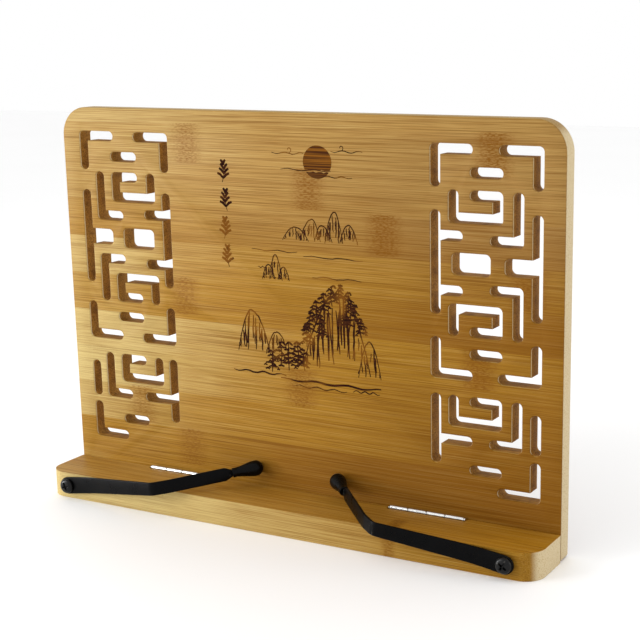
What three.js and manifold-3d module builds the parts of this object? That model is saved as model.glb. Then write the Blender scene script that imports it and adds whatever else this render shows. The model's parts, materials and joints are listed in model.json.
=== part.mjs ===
// A bamboo album stand: a fretwork backboard, a hinged shelf that the album
// stands on, two swinging page clips and a wire prop folded against the back.
//
// Millimetres, +Z up. The front faces -Y, +X is to the right. The pieces are
// laid out with y = 0 on the backboard's front face, and the finished stand is
// then moved so that its origin is in the middle of the shelf's underside.

import * as THREE from 'three';
import { mergeVertices } from 'three/addons/utils/BufferGeometryUtils.js';
import Module from 'manifold-3d';

const wasm = await Module();
wasm.setup();

// ---- driving dimensions -------------------------------------------------

const WIDTH = 340;
const GAP = 0.3; // left between pieces that touch

const BOARD = { height: 246, thickness: 11, topRadius: 18, bottomRadius: 2 };

// The fretwork is cut with one round cutter. Columns are distances from the
// middle of the board to the centre line of a cut, and are mirrored.
const CUTTER = 6;
const COLUMN = { a: 92.4, b: 103.5, c: 116.8, d: 130.3, e: 142.6, f: 153.9 };
const END = { stub: 106.1, bar: 112.1, foot: 129, arm: 134.1, key: 137.8 };
// Upper unit: heights above and below its middle, and mirrored about it.
const UPPER_MIDDLE = 165;
const STEP = { foot: 13.8, stub: 15.5, inner: 25.7, outer: 38.2, dash: 50.9, edge: 63.4 };
const TAIL = { long: 26.6, short: 45.4 };
const KEY = { height: 9.9, block: 12.6, blockInner: 102.7, blockOuter: 126 };
// Lower unit: heights above the tabletop.
const LOWER = {
  top: 86.4, tailTop: 80.2, middle: 74.1, foot: 62.8, tailLow: 52.7, barEnd: 51.1, dash: 46.2, edge: 34.8,
};

const SHELF = { depth: 35, thickness: 16.5, cornerRadius: 12 };

const HINGE = { middle: 87.2, length: 48.4, knuckles: 4, barrelRadius: 1.7, boreRadius: 1.0 };
const LEAF = { thickness: 1.0, foot: 3.2, top: 14.2, screwInset: 11, screwHeight: 8.6 };
const PIN = { radius: 0.7, headRadius: 1.4, headLength: 0.8 };

// The clip's strip stands on edge. Its hub lies in the plane y = CLIP.plane, in
// front of a washer, and the whole clip rises from its screw by CLIP.pitch degrees.
const WASHER = { radius: 4.4, thickness: 1 };
const CLIP = { pivotX: 151.8, pivotZ: 9, pitch: 9.1, thickness: 1.5, hubHeight: 11, endHeight: 8.2 };
CLIP.plane = -SHELF.depth - WASHER.thickness - 2 * GAP - CLIP.thickness / 2;
// The strip's bends: X along the clip from its screw, Y back from its plane.
const CLIP_BEND = { hubX: 16, frontX: 76.2, frontY: -11, turnX: 85.1, turnY: -5.2, ballX: 124, radius: 2.5 };
const CLIP_BORE = 2.3;
const SHOULDER = { length: 4.5, height: 4.8 }; // where the strip narrows into the rubber tip
const TONGUE = { height: 3.8, length: 9.4, root: 3 };
const TIP = { length: 19.4, ballRadius: 4.9, neckRadius: 3, socketDepth: 10 };

// The prop is one bent wire. Its two ends are cranked back and up by the toe
// angle, so that they meet the backboard and stop the leg when it is open.
const PROP = {
  wireRadius: 2.2, halfWidth: 50, bend: 6, axisZ: 150, legLength: 142, endX: 78, axisY: 14.8,
  toeLength: 9.5, toeAngle: 52, sides: 14,
};
const SLEEVE = { outerRadius: 3.4, length: 60 };
const SADDLE = { x: 65, width: 12, strap: 1.2, footLength: 9.6, screwOffset: 8.6 };

const PAN_SCREW = { headRadius: 4.75, headHeight: 2.4, shankRadius: 1.9, length: 17, sides: 20 };
const SADDLE_SCREW = { headRadius: 2.8, headHeight: 1.6, shankRadius: 1.1, length: 9, sides: 12 };
const LEAF_SCREW = { headRadius: 2.1, headHeight: 0.9, shankRadius: 1.0, length: 8, sides: 12 };
const PILOT_CLEARANCE = 0.35;

// ---- materials ----------------------------------------------------------

const bamboo = (colour) => new THREE.MeshStandardMaterial({ color: colour, roughness: 0.45, metalness: 0 });
const steel = (colour) => new THREE.MeshStandardMaterial({ color: colour, roughness: 0.25, metalness: 1 });
const blackPaint = () => new THREE.MeshStandardMaterial({ color: 0x17181a, roughness: 0.42, metalness: 0.3 });
const rubber = () => new THREE.MeshStandardMaterial({ color: 0x141414, roughness: 0.8, metalness: 0 });

// ---- solids -------------------------------------------------------------

const radians = THREE.MathUtils.degToRad;

function toSolid(geometry) {
  const plain = geometry.clone();
  plain.deleteAttribute('normal');
  plain.deleteAttribute('uv');
  const merged = mergeVertices(plain, 1e-4);
  return new wasm.Manifold(new wasm.Mesh({
    numProp: 3,
    vertProperties: new Float32Array(merged.attributes.position.array),
    triVerts: new Uint32Array(merged.index.array),
  }));
}

function toGeometry(solid) {
  const mesh = solid.getMesh();
  const geometry = new THREE.BufferGeometry();
  geometry.setAttribute('position', new THREE.BufferAttribute(new Float32Array(mesh.vertProperties), 3));
  geometry.setIndex(new THREE.BufferAttribute(new Uint32Array(mesh.triVerts), 1));
  geometry.computeVertexNormals();
  return geometry;
}

function cut(geometry, tools) {
  let solid = toSolid(geometry);
  for (const tool of tools) {
    solid = solid.subtract(toSolid(tool));
  }
  return toGeometry(solid);
}

function join(geometries) {
  let solid = toSolid(geometries[0]);
  for (const geometry of geometries.slice(1)) {
    solid = solid.add(toSolid(geometry));
  }
  return toGeometry(solid);
}

function box(x0, x1, y0, y1, z0, z1) {
  const geometry = new THREE.BoxGeometry(x1 - x0, y1 - y0, z1 - z0);
  return geometry.translate((x0 + x1) / 2, (y0 + y1) / 2, (z0 + z1) / 2);
}

// A rod or a hole along Y.
function rodY(x, z, radius, y0, y1, sides = 16) {
  const geometry = new THREE.CylinderGeometry(radius, radius, y1 - y0, sides);
  return geometry.translate(x, (y0 + y1) / 2, z);
}

// A shape drawn in X and Z, with its front face at yFront.
function slabXZ(shape, yFront, yBack, curveSegments = 6) {
  const geometry = new THREE.ExtrudeGeometry(shape, {
    depth: yBack - yFront, bevelEnabled: false, curveSegments,
  });
  return geometry.rotateX(Math.PI / 2).translate(0, yBack, 0);
}

// A shape drawn in Y and Z, running along X from x0 to x1.
function barYZ(shape, x0, x1, curveSegments = 10) {
  const geometry = new THREE.ExtrudeGeometry(shape, {
    depth: x1 - x0, bevelEnabled: false, curveSegments,
  });
  const drawnToWorld = new THREE.Matrix4().makeBasis(
    new THREE.Vector3(0, 1, 0), new THREE.Vector3(0, 0, 1), new THREE.Vector3(1, 0, 0));
  return geometry.applyMatrix4(drawnToWorld).translate(x0, 0, 0);
}

// A screw along +Y: its head's bearing face is at y = 0 and its point at y = length.
function screwGeometry({ headRadius, headHeight, shankRadius, length, sides }, countersunk = false) {
  const point = shankRadius * 2;
  const profile = countersunk
    ? [[0, -0.01], [headRadius, -0.01], [headRadius, 0.15], [shankRadius, headHeight]]
    : [[0, -headHeight], [headRadius * 0.62, -headHeight], [headRadius * 0.93, -headHeight * 0.62],
      [headRadius, -headHeight * 0.2], [headRadius, 0], [shankRadius, 0]];
  profile.push([shankRadius, length - point], [0, length]);
  const points = profile.map(([radius, y]) => new THREE.Vector2(radius, y));
  return new THREE.LatheGeometry(points, sides);
}

// ---- backboard ----------------------------------------------------------

function boardOutline() {
  const { height, topRadius, bottomRadius } = BOARD;
  const half = WIDTH / 2;
  const shape = new THREE.Shape();
  shape.moveTo(-half + bottomRadius, 0);
  shape.lineTo(half - bottomRadius, 0);
  shape.absarc(half - bottomRadius, bottomRadius, bottomRadius, -Math.PI / 2, 0);
  shape.lineTo(half, height - topRadius);
  shape.absarc(half - topRadius, height - topRadius, topRadius, 0, Math.PI / 2);
  shape.lineTo(-half + topRadius, height);
  shape.absarc(-half + topRadius, height - topRadius, topRadius, Math.PI / 2, Math.PI);
  shape.lineTo(-half, bottomRadius);
  shape.absarc(-half + bottomRadius, bottomRadius, bottomRadius, Math.PI, Math.PI * 1.5);
  return shape;
}

// One straight pass of the cutter between two centre points, or of a wider
// rounded pocket when a width is given.
function pass(x0, z0, x1, z1, width = CUTTER) {
  const radius = CUTTER / 2;
  const left = Math.min(x0, x1) - radius;
  const right = Math.max(x0, x1) + radius;
  const low = Math.min(z0, z1) - width / 2;
  const high = Math.max(z0, z1) + width / 2;
  const shape = new THREE.Shape();
  shape.absarc(right - radius, low + radius, radius, -Math.PI / 2, 0);
  shape.absarc(right - radius, high - radius, radius, 0, Math.PI / 2);
  shape.absarc(left + radius, high - radius, radius, Math.PI / 2, Math.PI);
  shape.absarc(left + radius, low + radius, radius, Math.PI, Math.PI * 1.5);
  return slabXZ(shape, -1, BOARD.thickness + 1, 3);
}

// Half of the upper unit: up is 1 for the upper half and -1 for the lower.
function upperHalf(side, up) {
  const line = (x0, z0, x1, z1) => pass(
    side * x0, UPPER_MIDDLE + up * z0, side * x1, UPPER_MIDDLE + up * z1);
  const { a, b, c, d, e, f } = COLUMN;
  return [
    line(f, TAIL.short, f, STEP.edge), line(f, STEP.edge, END.arm, STEP.edge),
    line(a, TAIL.short, a, STEP.edge), line(a, STEP.edge, END.bar, STEP.edge),
    line(d, STEP.dash, c, STEP.dash),
    line(e, STEP.outer, e, STEP.foot), line(e, STEP.foot, END.foot, STEP.foot),
    line(c, STEP.outer, d, STEP.outer), line(d, STEP.outer, d, STEP.inner),
    line(d, STEP.inner, b, STEP.inner), line(b, STEP.inner, b, STEP.outer),
    line(a, STEP.stub, END.stub, STEP.stub),
  ];
}

function upperKeys(side) {
  const { a, f } = COLUMN;
  const radius = CUTTER / 2;
  const line = (x0, z0, x1, z1, width) => pass(
    side * x0, UPPER_MIDDLE + z0, side * x1, UPPER_MIDDLE + z1, width);
  return [
    line(f, -TAIL.long, f, TAIL.long),
    line(a, -TAIL.long, a, TAIL.long),
    line(f, 0, END.key, 0, KEY.height),
    line(KEY.blockInner + radius, 0, KEY.blockOuter - radius, 0, KEY.block),
  ];
}

function lowerUnit(side) {
  const { a, b, c, d, e, f } = COLUMN;
  const line = (x0, z0, x1, z1) => pass(side * x0, z0, side * x1, z1);
  return [
    line(f, LOWER.tailTop, f, LOWER.foot),
    line(f, LOWER.tailLow, f, LOWER.edge), line(f, LOWER.edge, END.arm, LOWER.edge),
    line(e, LOWER.top, e, LOWER.foot), line(e, LOWER.foot, END.foot, LOWER.foot),
    line(c, LOWER.top, d, LOWER.top), line(d, LOWER.top, d, LOWER.middle),
    line(d, LOWER.middle, b, LOWER.middle), line(b, LOWER.middle, b, LOWER.top),
    line(a, LOWER.top, a, LOWER.barEnd), line(a, LOWER.foot, END.bar, LOWER.foot),
    line(d, LOWER.dash, c, LOWER.dash),
  ];
}

function backboard() {
  const tools = [];
  for (const side of [-1, 1]) {
    tools.push(...upperHalf(side, 1), ...upperHalf(side, -1), ...upperKeys(side), ...lowerUnit(side));
  }
  for (const { x, z } of leafScrewPlaces()) {
    tools.push(rodY(x, z, LEAF_SCREW.shankRadius + PILOT_CLEARANCE, -1, LEAF_SCREW.length + GAP, 8));
  }
  for (const { x, z } of saddleScrewPlaces()) {
    const depth = SADDLE_SCREW.length - SADDLE.strap;
    tools.push(rodY(x, z, SADDLE_SCREW.shankRadius + PILOT_CLEARANCE,
      BOARD.thickness - depth, BOARD.thickness + 1, 8));
  }
  return cut(slabXZ(boardOutline(), 0, BOARD.thickness, 10), tools);
}

// ---- shelf --------------------------------------------------------------

const barrelY = -GAP - HINGE.barrelRadius;
const barrelZ = SHELF.thickness + 0.1;
const pocketFront = barrelY - HINGE.barrelRadius - GAP;

function shelfOutline() {
  const half = WIDTH / 2;
  const { depth, cornerRadius } = SHELF;
  const shape = new THREE.Shape();
  shape.moveTo(half, -GAP);
  shape.lineTo(-half, -GAP);
  shape.lineTo(-half, -depth + cornerRadius);
  shape.absarc(-half + cornerRadius, -depth + cornerRadius, cornerRadius, Math.PI, Math.PI * 1.5);
  shape.lineTo(half - cornerRadius, -depth);
  shape.absarc(half - cornerRadius, -depth + cornerRadius, cornerRadius, -Math.PI / 2, 0);
  return shape;
}

function shelf() {
  const blank = new THREE.ExtrudeGeometry(shelfOutline(), {
    depth: SHELF.thickness, bevelEnabled: false, curveSegments: 12,
  });
  const tools = [];
  for (const side of [-1, 1]) {
    const middle = side * HINGE.middle;
    const half = HINGE.length / 2 + PIN.headLength + 2 * GAP;
    tools.push(box(middle - half, middle + half, pocketFront, 1, LEAF.foot - GAP, SHELF.thickness + 1));
    tools.push(rodY(side * CLIP.pivotX, CLIP.pivotZ, PAN_SCREW.shankRadius + PILOT_CLEARANCE,
      -SHELF.depth - 1, CLIP.plane - CLIP.thickness / 2 + PAN_SCREW.length + GAP, 12));
  }
  for (const { x, z } of leafScrewPlaces()) {
    tools.push(rodY(x, z, LEAF_SCREW.shankRadius + PILOT_CLEARANCE,
      pocketFront - LEAF_SCREW.length, pocketFront + 1, 8));
  }
  return cut(blank, tools);
}

// ---- hinges -------------------------------------------------------------

function leafScrewPlaces() {
  const places = [];
  for (const side of [-1, 1]) {
    for (const end of [-1, 1]) {
      const x = side * HINGE.middle + end * (HINGE.length / 2 - LEAF.screwInset);
      places.push({ x, z: LEAF.screwHeight });
    }
  }
  return places;
}

// A knuckle's section with the strip that ties it to its leaf. The leaf stands
// on the backboard's side of the barrel.
function knuckleSection() {
  const { barrelRadius, boreRadius } = HINGE;
  const back = barrelY + barrelRadius;
  const inner = back - LEAF.thickness;
  const meet = Math.acos((inner - barrelY) / barrelRadius);
  const shape = new THREE.Shape();
  shape.moveTo(inner, LEAF.top - 1);
  shape.lineTo(back, LEAF.top - 1);
  shape.lineTo(back, barrelZ);
  shape.absarc(barrelY, barrelZ, barrelRadius, 0, Math.PI * 2 - meet);
  const bore = new THREE.Path();
  bore.absarc(barrelY, barrelZ, boreRadius, 0, Math.PI * 2, true);
  shape.holes.push(bore);
  return shape;
}

function leaf(middle, firstKnuckle) {
  const start = middle - HINGE.length / 2;
  const pitch = HINGE.length / HINGE.knuckles;
  const back = barrelY + HINGE.barrelRadius;
  const parts = [box(start, start + HINGE.length, back - LEAF.thickness, back, LEAF.foot, LEAF.top)];
  for (let i = firstKnuckle; i < HINGE.knuckles; i += 2) {
    const x0 = start + i * pitch + GAP / 2;
    parts.push(barYZ(knuckleSection(), x0, x0 + pitch - GAP));
  }
  const holes = [-1, 1].map((end) => rodY(
    middle + end * (HINGE.length / 2 - LEAF.screwInset), LEAF.screwHeight,
    LEAF_SCREW.headRadius + GAP, back - LEAF.thickness - 1, back + 1, 12));
  return cut(join(parts), holes);
}

// The shelf's leaf is the board's leaf turned about the barrel.
function shelfLeaf(middle) {
  const geometry = leaf(0, 0);
  const turned = new THREE.Matrix4().makeRotationZ(Math.PI);
  return geometry.applyMatrix4(turned).translate(middle, 2 * barrelY, 0);
}

function hingePin(middle) {
  const half = HINGE.length / 2 + GAP;
  const end = half + PIN.headLength;
  const profile = [
    [0, -end], [PIN.headRadius * 0.7, -end], [PIN.headRadius, -half - 0.2], [PIN.headRadius, -half],
    [PIN.radius, -half], [PIN.radius, half], [PIN.headRadius, half],
    [PIN.headRadius, half + 0.2], [PIN.headRadius * 0.7, end], [0, end],
  ].map(([radius, along]) => new THREE.Vector2(radius, along));
  const geometry = new THREE.LatheGeometry(profile, 12).rotateZ(-Math.PI / 2);
  return geometry.translate(middle, barrelY, barrelZ);
}

// ---- page clips ---------------------------------------------------------

// The strip's centre line in the clip's own frame: X along the clip from its
// screw, Y towards the backboard. It swings out in front of the shelf, turns
// back twice, and slants over the shelf to the backboard.
const clipPath = (() => {
  const { hubX, frontX, frontY, turnX, turnY, ballX } = CLIP_BEND;
  const corners = [[0, 0], [hubX, 0], [frontX, frontY], [turnX, turnY]];
  const bends = corners.map(([x, y]) => new THREE.Vector3(x, y, 0));
  const ball = new THREE.Vector3(ballX, -GAP - TIP.ballRadius - CLIP.plane, 0);
  const slant = new THREE.Vector3().subVectors(ball, bends.at(-1)).normalize();
  const neck = ball.clone().addScaledVector(slant, TIP.ballRadius - TIP.length);
  return { bends, slant, neck };
})();

function bentPath(corners, bend) {
  const path = new THREE.CurvePath();
  let from = corners[0];
  for (let i = 1; i < corners.length - 1; i += 1) {
    const before = new THREE.Vector3().subVectors(corners[i - 1], corners[i]).setLength(bend).add(corners[i]);
    const after = new THREE.Vector3().subVectors(corners[i + 1], corners[i]).setLength(bend).add(corners[i]);
    path.add(new THREE.LineCurve3(from, before));
    path.add(new THREE.QuadraticBezierCurve3(before, corners[i], after));
    from = after;
  }
  path.add(new THREE.LineCurve3(from, corners.at(-1)));
  return path;
}

// The stations of a strip along a path: only bends need more than their ends.
function stations(path, bendSteps) {
  const list = [];
  for (const curve of path.curves) {
    const steps = curve.isLineCurve3 ? 1 : bendSteps;
    for (let i = 0; i < steps; i += 1) {
      list.push({ at: curve.getPoint(i / steps), along: curve.getTangent(i / steps) });
    }
  }
  const last = path.curves.at(-1);
  list.push({ at: last.getPoint(1), along: last.getTangent(1) });
  return list;
}

// A closed body through rings of corners, flat at both ends.
function loft(rings) {
  const sides = rings[0].length;
  const index = [];
  for (let i = 0; i < rings.length - 1; i += 1) {
    for (let k = 0; k < sides; k += 1) {
      const a = sides * i + k;
      const b = sides * i + (k + 1) % sides;
      index.push(a, a + sides, b + sides, a, b + sides, b);
    }
  }
  const last = sides * (rings.length - 1);
  for (let k = 1; k < sides - 1; k += 1) {
    index.push(0, k, k + 1, last, last + k + 1, last + k);
  }
  const positions = rings.flat().flatMap((corner) => corner.toArray());
  const geometry = new THREE.BufferGeometry();
  geometry.setAttribute('position', new THREE.Float32BufferAttribute(positions, 3));
  geometry.setIndex(index);
  return geometry;
}

// The ring of corners at one station: each corner is [across, upwards], and up
// is the direction that stays upright along the whole path.
function ring({ at, along }, up, corners) {
  const rise = up.clone().addScaledVector(along, -up.dot(along)).normalize();
  const side = new THREE.Vector3().crossVectors(along, rise);
  return corners.map(([s, r]) => at.clone().addScaledVector(side, s).addScaledVector(rise, r));
}

// A flat strip on edge, as high at each station as heightAt says.
function strip(list, thickness, heightAt) {
  const half = thickness / 2;
  const up = new THREE.Vector3(0, 0, 1);
  return loft(list.map((station) => {
    const reach = heightAt(station.at) / 2;
    return ring(station, up, [[half, -reach], [half, reach], [-half, reach], [-half, -reach]]);
  }));
}

// A round wire along a path that mostly runs in X and Z.
function wire(list, radius, sides) {
  const up = new THREE.Vector3(0, 1, 0);
  const circle = Array.from({ length: sides }, (_, k) => {
    const angle = (k / sides) * Math.PI * 2;
    return [radius * Math.cos(angle), radius * Math.sin(angle)];
  });
  return loft(list.map((station) => ring(station, up, circle)));
}

function clipArm() {
  const { bends, neck, slant } = clipPath;
  const end = neck.clone().addScaledVector(slant, -GAP);
  const shoulder = end.clone().addScaledVector(slant, -SHOULDER.length);
  const path = bentPath([...bends, shoulder], CLIP_BEND.radius);
  const list = [...stations(path, 5), { at: end, along: slant }];
  const blade = strip(list, CLIP.thickness, (at) => {
    if (at === end) return SHOULDER.height;
    const share = Math.min(at.x / CLIP_BEND.frontX, 1);
    return THREE.MathUtils.lerp(CLIP.hubHeight, CLIP.endHeight, share);
  });
  const tongueEnd = neck.clone().addScaledVector(slant, TONGUE.length);
  const tongueRoot = neck.clone().addScaledVector(slant, -TONGUE.root);
  const tongue = strip([{ at: tongueRoot, along: slant }, { at: tongueEnd, along: slant }],
    CLIP.thickness, () => TONGUE.height);
  const half = CLIP.thickness / 2;
  const hub = rodY(0, 0, CLIP.hubHeight / 2, -half, half, 28);
  return cut(join([hub, blade, tongue]), [rodY(0, 0, CLIP_BORE, -2, 2, 20)]);
}

function rubberTip() {
  const { neck, slant } = clipPath;
  const { length, ballRadius, neckRadius, socketDepth } = TIP;
  const ballMiddle = length - ballRadius;
  const steps = 6;
  const flare = new THREE.CubicBezierCurve(
    new THREE.Vector2(neckRadius, neckRadius / 2), new THREE.Vector2(neckRadius, ballMiddle / 2),
    new THREE.Vector2(ballRadius, ballMiddle / 2), new THREE.Vector2(ballRadius, ballMiddle));
  const points = [new THREE.Vector2(0, 0), new THREE.Vector2(neckRadius, 0), ...flare.getPoints(steps)];
  for (let i = 1; i < steps; i += 1) {
    const angle = (i / steps) * Math.PI / 2;
    points.push(new THREE.Vector2(ballRadius * Math.cos(angle), ballMiddle + ballRadius * Math.sin(angle)));
  }
  points.push(new THREE.Vector2(0, length));
  const body = new THREE.LatheGeometry(points, 20);
  const onSlant = new THREE.Quaternion().setFromUnitVectors(new THREE.Vector3(0, 1, 0), slant);
  body.applyQuaternion(onSlant).translate(neck.x, neck.y, neck.z);
  const socketRoot = neck.clone().addScaledVector(slant, -1);
  const socketEnd = neck.clone().addScaledVector(slant, socketDepth);
  const socket = strip([{ at: socketRoot, along: slant }, { at: socketEnd, along: slant }],
    CLIP.thickness + 2 * GAP, () => TONGUE.height + 2 * GAP);
  return cut(body, [socket]);
}

function clipWasher() {
  const back = -SHELF.depth - GAP;
  const front = back - WASHER.thickness;
  return cut(rodY(0, 0, WASHER.radius, front, back, 20), [rodY(0, 0, CLIP_BORE, front - 1, back + 1, 16)]);
}

function crossHeadScrew(spec) {
  const depth = spec.headHeight * 0.75;
  const slot = { half: spec.headRadius * 0.5, width: spec.headRadius * 0.09 };
  const top = -spec.headHeight - 1;
  const across = box(-slot.half, slot.half, top, depth - spec.headHeight, -slot.width, slot.width);
  const upright = box(-slot.width, slot.width, top, depth - spec.headHeight, -slot.half, slot.half);
  return cut(screwGeometry(spec), [join([across, upright])]);
}

// ---- wire prop ----------------------------------------------------------

function propWire() {
  const { wireRadius, halfWidth, bend, axisZ, legLength, endX, axisY, toeLength, toeAngle, sides } = PROP;
  const low = axisZ - legLength;
  const toeY = axisY + toeLength * Math.sin(radians(toeAngle));
  const toeZ = axisZ + toeLength * Math.cos(radians(toeAngle));
  const half = [[endX, toeY, toeZ], [endX, axisY, axisZ], [halfWidth, axisY, axisZ], [halfWidth, axisY, low]];
  const left = half.map(([x, y, z]) => new THREE.Vector3(-x, y, z));
  const right = half.map(([x, y, z]) => new THREE.Vector3(x, y, z));
  const path = bentPath([...left, ...right.reverse()], bend);
  return wire(stations(path, 7), wireRadius, sides);
}

function propSleeve() {
  const inner = PROP.wireRadius + GAP;
  const half = SLEEVE.length / 2;
  const profile = [[inner, -half], [SLEEVE.outerRadius, -half], [SLEEVE.outerRadius, half],
    [inner, half], [inner, -half]].map(([radius, along]) => new THREE.Vector2(radius, along));
  const geometry = new THREE.LatheGeometry(profile, 20).rotateZ(-Math.PI / 2);
  return geometry.translate(0, PROP.axisY, PROP.axisZ - PROP.legLength);
}

function saddleScrewPlaces() {
  const places = [];
  for (const side of [-1, 1]) {
    for (const up of [-1, 1]) {
      places.push({ x: side * SADDLE.x, z: PROP.axisZ + up * SADDLE.screwOffset });
    }
  }
  return places;
}

// A strap bent over the wire, with a flat foot above and below it.
function saddle(x) {
  const inner = PROP.wireRadius + GAP;
  const outer = inner + SADDLE.strap;
  const face = BOARD.thickness + GAP;
  const { axisY, axisZ } = PROP;
  const reach = outer + SADDLE.footLength;
  const shape = new THREE.Shape();
  shape.moveTo(face, axisZ - reach);
  shape.lineTo(face + SADDLE.strap, axisZ - reach);
  shape.lineTo(face + SADDLE.strap, axisZ - outer);
  shape.lineTo(axisY, axisZ - outer);
  shape.absarc(axisY, axisZ, outer, -Math.PI / 2, Math.PI / 2);
  shape.lineTo(face + SADDLE.strap, axisZ + outer);
  shape.lineTo(face + SADDLE.strap, axisZ + reach);
  shape.lineTo(face, axisZ + reach);
  shape.lineTo(face, axisZ + inner);
  shape.lineTo(axisY, axisZ + inner);
  shape.absarc(axisY, axisZ, inner, Math.PI / 2, -Math.PI / 2, true);
  shape.lineTo(face, axisZ - inner);
  const strap = barYZ(shape, x - SADDLE.width / 2, x + SADDLE.width / 2);
  const holes = [-1, 1].map((up) => rodY(x, axisZ + up * SADDLE.screwOffset,
    SADDLE_SCREW.shankRadius + PILOT_CLEARANCE, face - 1, face + SADDLE.strap + 1, 12));
  return cut(strap, holes);
}

// ---- assembly -----------------------------------------------------------

function named(name, geometry, material) {
  const mesh = new THREE.Mesh(geometry, material);
  mesh.name = name;
  return mesh;
}

function hinge(side, label) {
  const middle = side * HINGE.middle;
  const group = new THREE.Group();
  group.add(
    named(`${label}_hinge_board_leaf`, leaf(middle, 0), steel(0xd9d9d6)),
    named(`${label}_hinge_shelf_leaf`, shelfLeaf(middle), steel(0xd9d9d6)),
    named(`${label}_hinge_pin`, hingePin(middle), steel(0xc8c8c6)),
  );
  for (const [outwards, endName] of [[1, 'outer'], [-1, 'inner']]) {
    const x = middle + side * outwards * (HINGE.length / 2 - LEAF.screwInset);
    const intoBoard = named(`${label}_hinge_board_screw_${endName}`,
      screwGeometry(LEAF_SCREW, true), steel(0xb8b8b4));
    intoBoard.position.set(x, barrelY + HINGE.barrelRadius - LEAF.thickness, LEAF.screwHeight);
    const intoShelf = named(`${label}_hinge_shelf_screw_${endName}`,
      screwGeometry(LEAF_SCREW, true), steel(0xb8b8b4));
    intoShelf.rotation.z = Math.PI;
    intoShelf.position.set(x, barrelY - HINGE.barrelRadius + LEAF.thickness, LEAF.screwHeight);
    group.add(intoBoard, intoShelf);
  }
  return group;
}

// A page clip with its screw at the origin of its group. The right-hand clip is
// the left-hand one seen in a mirror.
function clip(side, label) {
  const mirror = (geometry) => {
    if (side < 0) return geometry;
    return toGeometry(toSolid(geometry).mirror([1, 0, 0]));
  };
  const arm = new THREE.Group();
  arm.rotation.y = side * radians(CLIP.pitch);
  arm.position.set(0, CLIP.plane, 0);
  arm.add(
    named(`${label}_clip_arm`, mirror(clipArm()), blackPaint()),
    named(`${label}_clip_rubber_tip`, mirror(rubberTip()), rubber()),
  );
  const screw = named(`${label}_clip_screw`, crossHeadScrew(PAN_SCREW), blackPaint());
  screw.position.set(0, CLIP.plane - CLIP.thickness / 2 - GAP, 0);
  screw.rotation.y = radians(side < 0 ? 20 : -35);
  const group = new THREE.Group();
  group.position.set(side * CLIP.pivotX, 0, CLIP.pivotZ);
  group.add(arm, screw, named(`${label}_clip_washer`, clipWasher(), blackPaint()));
  return group;
}

function prop() {
  const group = new THREE.Group();
  group.add(
    named('prop_wire', propWire(), steel(0xa9aaa8)),
    named('prop_sleeve', propSleeve(), rubber()),
    named('left_prop_saddle', saddle(-SADDLE.x), steel(0xb4b4b0)),
    named('right_prop_saddle', saddle(SADDLE.x), steel(0xb4b4b0)),
  );
  for (const { x, z } of saddleScrewPlaces()) {
    const label = `${x < 0 ? 'left' : 'right'}_saddle_screw_${z < PROP.axisZ ? 'lower' : 'upper'}`;
    const screw = named(label, crossHeadScrew(SADDLE_SCREW), steel(0xb4b4b0));
    screw.rotation.z = Math.PI;
    screw.position.set(x, BOARD.thickness + 2 * GAP + SADDLE.strap, z);
    group.add(screw);
  }
  return group;
}

const stand = new THREE.Group();
stand.name = 'album_stand';
stand.position.y = SHELF.depth / 2;
stand.add(
  named('backboard', backboard(), bamboo(0xb98a47)),
  named('shelf', shelf(), bamboo(0xc0914e)),
  hinge(-1, 'left'),
  hinge(1, 'right'),
  clip(-1, 'left'),
  clip(1, 'right'),
  prop(),
);

export default stand;
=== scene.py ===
"""Looks for the bamboo album stand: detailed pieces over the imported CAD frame, in metres."""

import json
import random
from math import cos, pi, radians, sin

import bmesh
import bpy
from mathutils import Matrix, Vector


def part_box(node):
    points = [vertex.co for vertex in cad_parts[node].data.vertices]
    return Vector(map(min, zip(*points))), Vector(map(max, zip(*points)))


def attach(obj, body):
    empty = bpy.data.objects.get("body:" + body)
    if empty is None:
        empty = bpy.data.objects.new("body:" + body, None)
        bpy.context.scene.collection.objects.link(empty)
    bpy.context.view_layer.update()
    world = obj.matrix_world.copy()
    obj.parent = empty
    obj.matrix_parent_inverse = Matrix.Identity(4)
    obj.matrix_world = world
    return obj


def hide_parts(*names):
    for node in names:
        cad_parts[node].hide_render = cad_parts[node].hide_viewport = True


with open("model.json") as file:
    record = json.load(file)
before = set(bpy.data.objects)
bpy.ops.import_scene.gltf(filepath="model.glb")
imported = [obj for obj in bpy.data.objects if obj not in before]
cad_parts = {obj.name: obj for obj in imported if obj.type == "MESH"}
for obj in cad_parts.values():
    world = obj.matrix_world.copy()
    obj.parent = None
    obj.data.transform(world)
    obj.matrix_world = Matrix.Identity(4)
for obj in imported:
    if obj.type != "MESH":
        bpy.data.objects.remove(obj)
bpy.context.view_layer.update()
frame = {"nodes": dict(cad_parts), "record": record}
joints = {joint["name"]: joint for joint in frame["record"]["behaviour"]["joints"]}

MM = 0.001
UP = Vector((0, 0, 1))
BODY = "stand"
SIDES = (("left", -1), ("right", 1))

# ---- places taken from the frame, in metres ----


def corners(node):
    """The lowest and the highest corner of the CAD node's box."""
    return [Vector(corner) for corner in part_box(node)]


board_low, board_high = corners("backboard")
shelf_low, shelf_high = corners("shelf")
BOARD_FRONT = board_low.y
BOARD_BACK = board_high.y
HALF_WIDTH = board_high.x
BOARD_TOP = board_high.z

# ---- the CAD's own dimensions, in millimetres ----

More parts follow.
